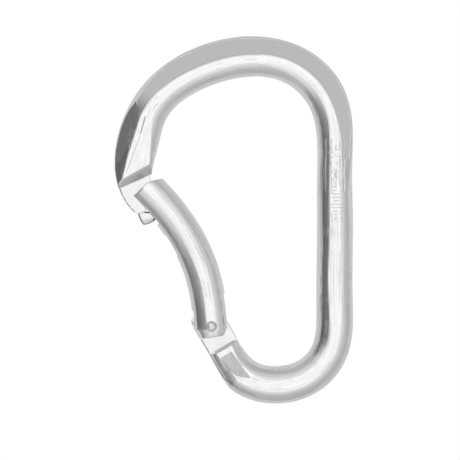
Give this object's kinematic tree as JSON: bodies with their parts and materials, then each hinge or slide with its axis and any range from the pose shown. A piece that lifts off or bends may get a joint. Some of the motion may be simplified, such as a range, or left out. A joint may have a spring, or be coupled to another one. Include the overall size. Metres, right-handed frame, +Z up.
{
  "type": "carabiner",
  "caption": "Polished aluminium asymmetric-D climbing carabiner with a bent snap gate, a hooked nose and a sprung riveted hinge.",
  "frame": {"origin": "inner crown of the wide basket, where the carabiner hangs", "axes": "+Z up along the spine towards the wide basket, +X from the gate towards the spine, -Y out of the front face"},
  "size_m": [0.0672, 0.0108, 0.1025],
  "materials": {
    "polished_body": "polished, fine tumbling marks",
    "polished_gate": "polished, drawn along its length",
    "rivet_steel": "peened stainless",
    "pin_steel": "ground stainless",
    "spring_steel": "drawn spring wire"
  },
  "bodies": {
    "frame": {"body": "polished_body"},
    "gate": {"gate_arm": "polished_gate", "hinge_rivet": "rivet_steel", "latch_pin": "pin_steel", "gate_spring": "spring_steel"},
    "plunger": {"spring_plunger": "pin_steel"}
  },
  "joints": [
    {"name": "gate_hinge", "type": "hinge", "parent": "frame", "child": "gate", "pos_m": [-0.00938, 0, -0.06983], "axis": [0, 1, 0], "range_deg": [0, 36], "stiffness_Nm_per_rad": 0.27, "springref_deg": -59.59},
    {"name": "plunger_slide", "type": "slide", "parent": "gate", "child": "plunger", "axis": [-0.2079, 0, 0.9781], "range_m": [0, 0.0014], "deforming": ["gate_spring"]}
  ],
  "couplings": [
    {"joint": "plunger_slide", "follows": "gate_hinge", "m_per_rad": 0.00211}
  ]
}
